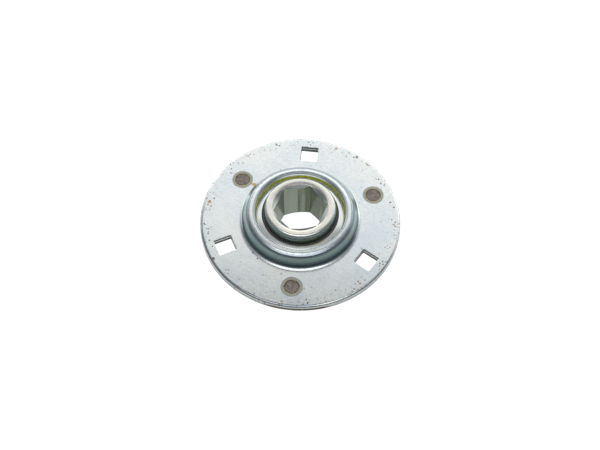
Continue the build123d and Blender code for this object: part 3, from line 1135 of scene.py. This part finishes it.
def plain_steel_material(name, light, dark, low_rough, high_rough, scale):
    """Steel of a hidden piece, with fine marks and an oily change of tone."""
    material, tree, shader = new_material(name)
    place = object_place(tree)
    mottle = clouds(tree, place, 1600.0, 4.0, 0.7)
    tree.links.new(tarnished(tree, light, dark, scale), shader.inputs["Base Color"])
    tree.links.new(spread(tree, mottle, 0.3, 0.7, low_rough, high_rough), shader.inputs["Roughness"])
    shader.inputs["Metallic"].default_value = 1.0
    bumped(tree, shader, mottle, 0.008 * MM, 0.4)
    return material


def finish_node(node_name, material):
    """Gives a carried-over node its material."""
    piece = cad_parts[node_name]
    piece.data.materials.clear()
    piece.data.materials.append(material)


# ---------------------------------------------------------------- operators


class BuildFinishGroups(bpy.types.Operator):
    """Builds the shader groups that the finishes share"""

    bl_idname = "bearing.finish_groups"
    bl_label = "Finish groups"

    def execute(self, context):
        build_brush_lines()
        build_specks()
        build_patch()
        build_ring_band()
        build_sector()
        build_tarnish()
        build_weld_heat(context.scene.bearing_finishes)
        return {"FINISHED"}


class BuildFlangettes(bpy.types.Operator):
    """Builds the two pressed discs that hold the bearing"""

    bl_idname = "bearing.flangettes"
    bl_label = "Flangettes"

    def execute(self, context):
        sizes = context.scene.flangette_sizes
        zinc = zinc_material(context.scene.bearing_finishes)
        punched = punched_edge_material(context.scene.bearing_finishes)
        for side, flip in (("upper", False), ("lower", True)):
            piece = finished_piece(
                f"{side}_flangette_pressing",
                flangette_work(sizes),
                "housing",
                "flangette_zinc",
                f"flangette_{side}",
                flip=flip,
            )
            piece.data.materials.append(zinc)
            piece.data.materials.append(punched)
        return {"FINISHED"}


class BuildSpotWelds(bpy.types.Operator):
    """Builds the three weld nuggets with their electrode dents"""

    bl_idname = "bearing.spot_welds"
    bl_label = "Spot welds"

    def execute(self, context):
        sizes = context.scene.flangette_sizes
        scale = weld_material()
        for name, place in zip(WELD_NAMES, WELD_PLACES):
            work = weld_work(sizes, *place)
            piece = finished_piece(f"spot_weld_{name}", work, "housing", "weld_scale", "spot_welds")
            piece.data.materials.append(scale)
        return {"FINISHED"}


class BuildInnerRing(bpy.types.Operator):
    """Builds the inner ring with its hexagon bore"""

    bl_idname = "bearing.inner_ring"
    bl_label = "Inner ring"

    def execute(self, context):
        work = inner_ring_work(context.scene.bearing_sizes)
        piece = finished_piece("hex_bore_ring", work, "inner_ring", "inner_ring_steel", "inner_ring")
        piece.data.materials.append(inner_ring_material(context.scene.bearing_finishes))
        return {"FINISHED"}


class BuildSeals(bpy.types.Operator):
    """Builds the seal caps, rubber lips and grease beads"""

    bl_idname = "bearing.seals"
    bl_label = "Seals"

    def execute(self, context):
        sizes = context.scene.bearing_sizes
        finishes = context.scene.bearing_finishes
        cap_plate = cap_material(finishes)
        rubber = rubber_material(finishes)
        grease = grease_material(finishes)
        for side, flip in (("upper", False), ("lower", True)):
            cap = finished_piece(
                f"{side}_seal_cap",
                cap_work(sizes),
                "housing",
                "seal_cap_zinc",
                f"seal_outer_cap_{side}",
                flip=flip,
            )
            cap.data.materials.append(cap_plate)
            lip = finished_piece(
                f"{side}_rubber_lip",
                lip_work(sizes),
                "housing",
                "seal_rubber",
                f"seal_lip_{side}",
                flip=flip,
            )
            lip.data.materials.append(rubber)
            bead = finished_piece(f"{side}_grease_bead", grease_work(), "housing", None, flip=flip)
            bead.data.materials.append(grease)
        return {"FINISHED"}


class FinishHiddenPieces(bpy.types.Operator):
    """Gives the balls, cage, outer ring and inner seal caps their finishes"""

    bl_idname = "bearing.hidden_pieces"
    bl_label = "Inside pieces"

    def execute(self, context):
        polished, ground, pressed, plate = (
            plain_steel_material(name, *looks) for name, *looks in HIDDEN_STEELS
        )
        finish_node("outer_ring", ground)
        for name in ("cage_half_upper", "cage_half_lower", "cage_rivets"):
            finish_node(name, pressed)
        for side in ("upper", "lower"):
            finish_node(f"seal_inner_cap_{side}", plate)
        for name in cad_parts:
            if name.startswith("ball_"):
                finish_node(name, polished)
        return {"FINISHED"}


def soft_light(name, place, width, depth, brightness, tint):
    """A soft rectangular light of an even brightness, turned towards the bearing."""
    data = bpy.data.lights.new(name, "AREA")
    data.shape = "RECTANGLE"
    data.size = width
    data.size_y = depth
    data.energy = brightness * math.pi * width * depth
    data.color = tint
    lamp = bpy.data.objects.new(name, data)
    lamp.location = place
    lamp.rotation_euler = (-Vector(place)).to_track_quat("-Z", "Y").to_euler()
    bpy.context.scene.collection.objects.link(lamp)


class BuildStage(bpy.types.Operator):
    """Sets the pale floor, the soft lights and the camera"""

    bl_idname = "bearing.stage"
    bl_label = "Stage"

    def execute(self, context):
        settings = context.scene.bearing_studio
        build_floor()
        build_lights()
        build_camera(settings)
        context.scene.view_settings.view_transform = "Standard"
        return {"FINISHED"}


def build_floor():
    """A floor that shows white, and lights the bearing less, and least far away."""
    mesh = bpy.data.meshes.new("floor")
    level = CAD_BOUNDS[0][2]
    corners = [
        (FLOOR_REACH * across, FLOOR_REACH * along, level)
        for across, along in ((-1, -1), (1, -1), (1, 1), (-1, 1))
    ]
    mesh.from_pydata(corners, [], [(0, 1, 2, 3)])
    floor = bpy.data.objects.new("floor", mesh)
    bpy.context.scene.collection.objects.link(floor)
    material, tree, shader = new_material("floor paper")
    shader.inputs["Base Color"].default_value = (0.16, 0.16, 0.16, 1)
    shader.inputs["Roughness"].default_value = 0.9
    away = arrows(tree, "LENGTH", object_place(tree))["Value"]
    bounce = spread(tree, away, 0.06, 0.45, FLOOR_BOUNCE, FLOOR_BOUNCE_FAR)
    seen = wire(tree, "ShaderNodeLightPath").outputs["Is Camera Ray"]
    glow = mixed(tree, seen, bounce, (FLOOR_GLOW, FLOOR_GLOW, FLOOR_GLOW))
    tree.links.new(glow, shader.inputs["Emission Color"])
    shader.inputs["Emission Strength"].default_value = 1.0
    mesh.materials.append(material)


# name, place, width, depth, brightness, tint
SOFT_LIGHTS = (
    ("low back softbox", (0.0, 1.2, 0.60), 2.4, 0.75, 1.0, (1.0, 0.995, 0.97)),
    ("high back softbox", (0.0, 0.82, 0.98), 2.0, 0.6, 0.69, (0.97, 0.99, 1.0)),
    ("top softbox", (0.0, -0.22, 1.25), 1.0, 0.7, 1.4, (0.98, 0.99, 1.0)),
    ("left softbox", (-1.05, 0.75, 0.5), 0.8, 0.7, 0.72, (0.96, 0.99, 1.0)),
    ("right softbox", (1.05, 0.75, 0.5), 0.8, 0.7, 0.72, (0.96, 0.99, 1.0)),
)


def build_lights():
    """Soft boxes behind, above and at both sides, in a dim room that is paler low down and high up."""
    for light in SOFT_LIGHTS:
        soft_light(*light)
    world = bpy.data.worlds.new("studio room")
    bpy.context.scene.world = world
    world.use_nodes = True
    tree = world.node_tree
    background = tree.nodes["Background"]
    seen = wire(tree, "ShaderNodeLightPath").outputs["Is Camera Ray"]
    direction = wire(tree, "ShaderNodeTexCoord").outputs["Generated"]
    height = parts_of(tree, direction)[2]
    dim = mixed(tree, spread(tree, height, 0.3, 0.5), ROOM_LOW, ROOM_MIDDLE)
    dim = mixed(tree, spread(tree, height, 0.62, 0.82), dim, ROOM_HIGH)
    room = mixed(tree, seen, dim, ROOM_SEEN)
    tree.links.new(room, background.inputs["Color"])
    background.inputs["Strength"].default_value = 1.0


def build_camera(settings):
    """The camera, looking down on the crown."""
    data = bpy.data.cameras.new("camera")
    data.lens = settings.lens
    data.sensor_width = 36
    data.clip_start = 0.01
    camera = bpy.data.objects.new("camera", data)
    away = Vector(
        (
            math.sin(settings.azimuth) * math.cos(settings.elevation),
            -math.cos(settings.azimuth) * math.cos(settings.elevation),
            math.sin(settings.elevation),
        )
    )
    camera.location = Vector(CAMERA_TARGET) + away * settings.distance
    camera.rotation_euler = (-away).to_track_quat("-Z", "Y").to_euler()
    camera.rotation_euler.rotate_axis("Z", settings.roll)
    bpy.context.scene.collection.objects.link(camera)
    bpy.context.scene.camera = camera


STEPS = (
    BuildFinishGroups,
    BuildFlangettes,
    BuildSpotWelds,
    BuildInnerRing,
    BuildSeals,
    FinishHiddenPieces,
    BuildStage,
)


class BearingPanel(bpy.types.Panel):
    """Lists the steps that build the bearing"""

    bl_idname = "VIEW3D_PT_bearing"
    bl_label = "Flange Mount Bearing"
    bl_space_type = "VIEW_3D"
    bl_region_type = "UI"
    bl_category = "Bearing"

    def draw(self, context):
        for step in STEPS:
            self.layout.operator(step.bl_idname)
        for group_name in PROPERTY_GROUPS:
            settings = getattr(context.scene, group_name)
            box = self.layout.box()
            for field in settings.__annotations__:
                box.prop(settings, field)


PROPERTY_GROUPS = {
    "flangette_sizes": FlangetteSizes,
    "bearing_sizes": BearingSizes,
    "bearing_finishes": BearingFinishes,
    "bearing_studio": StudioSettings,
}


def register():
    """Adds the property groups, the operators and the panel to Blender."""
    for name, kind in PROPERTY_GROUPS.items():
        bpy.utils.register_class(kind)
        setattr(bpy.types.Scene, name, bpy.props.PointerProperty(type=kind))
    for kind in (*STEPS, BearingPanel):
        bpy.utils.register_class(kind)


def unregister():
    """Takes them out again."""
    for kind in reversed((*STEPS, BearingPanel)):
        bpy.utils.unregister_class(kind)
    for name, kind in PROPERTY_GROUPS.items():
        delattr(bpy.types.Scene, name)
        bpy.utils.unregister_class(kind)


def main():
    """Builds the bearing and its stage."""
    register()
    bpy.ops.bearing.finish_groups()
    bpy.ops.bearing.flangettes()
    bpy.ops.bearing.spot_welds()
    bpy.ops.bearing.inner_ring()
    bpy.ops.bearing.seals()
    bpy.ops.bearing.hidden_pieces()
    bpy.ops.bearing.stage()


if __name__ == "__main__":
    main()
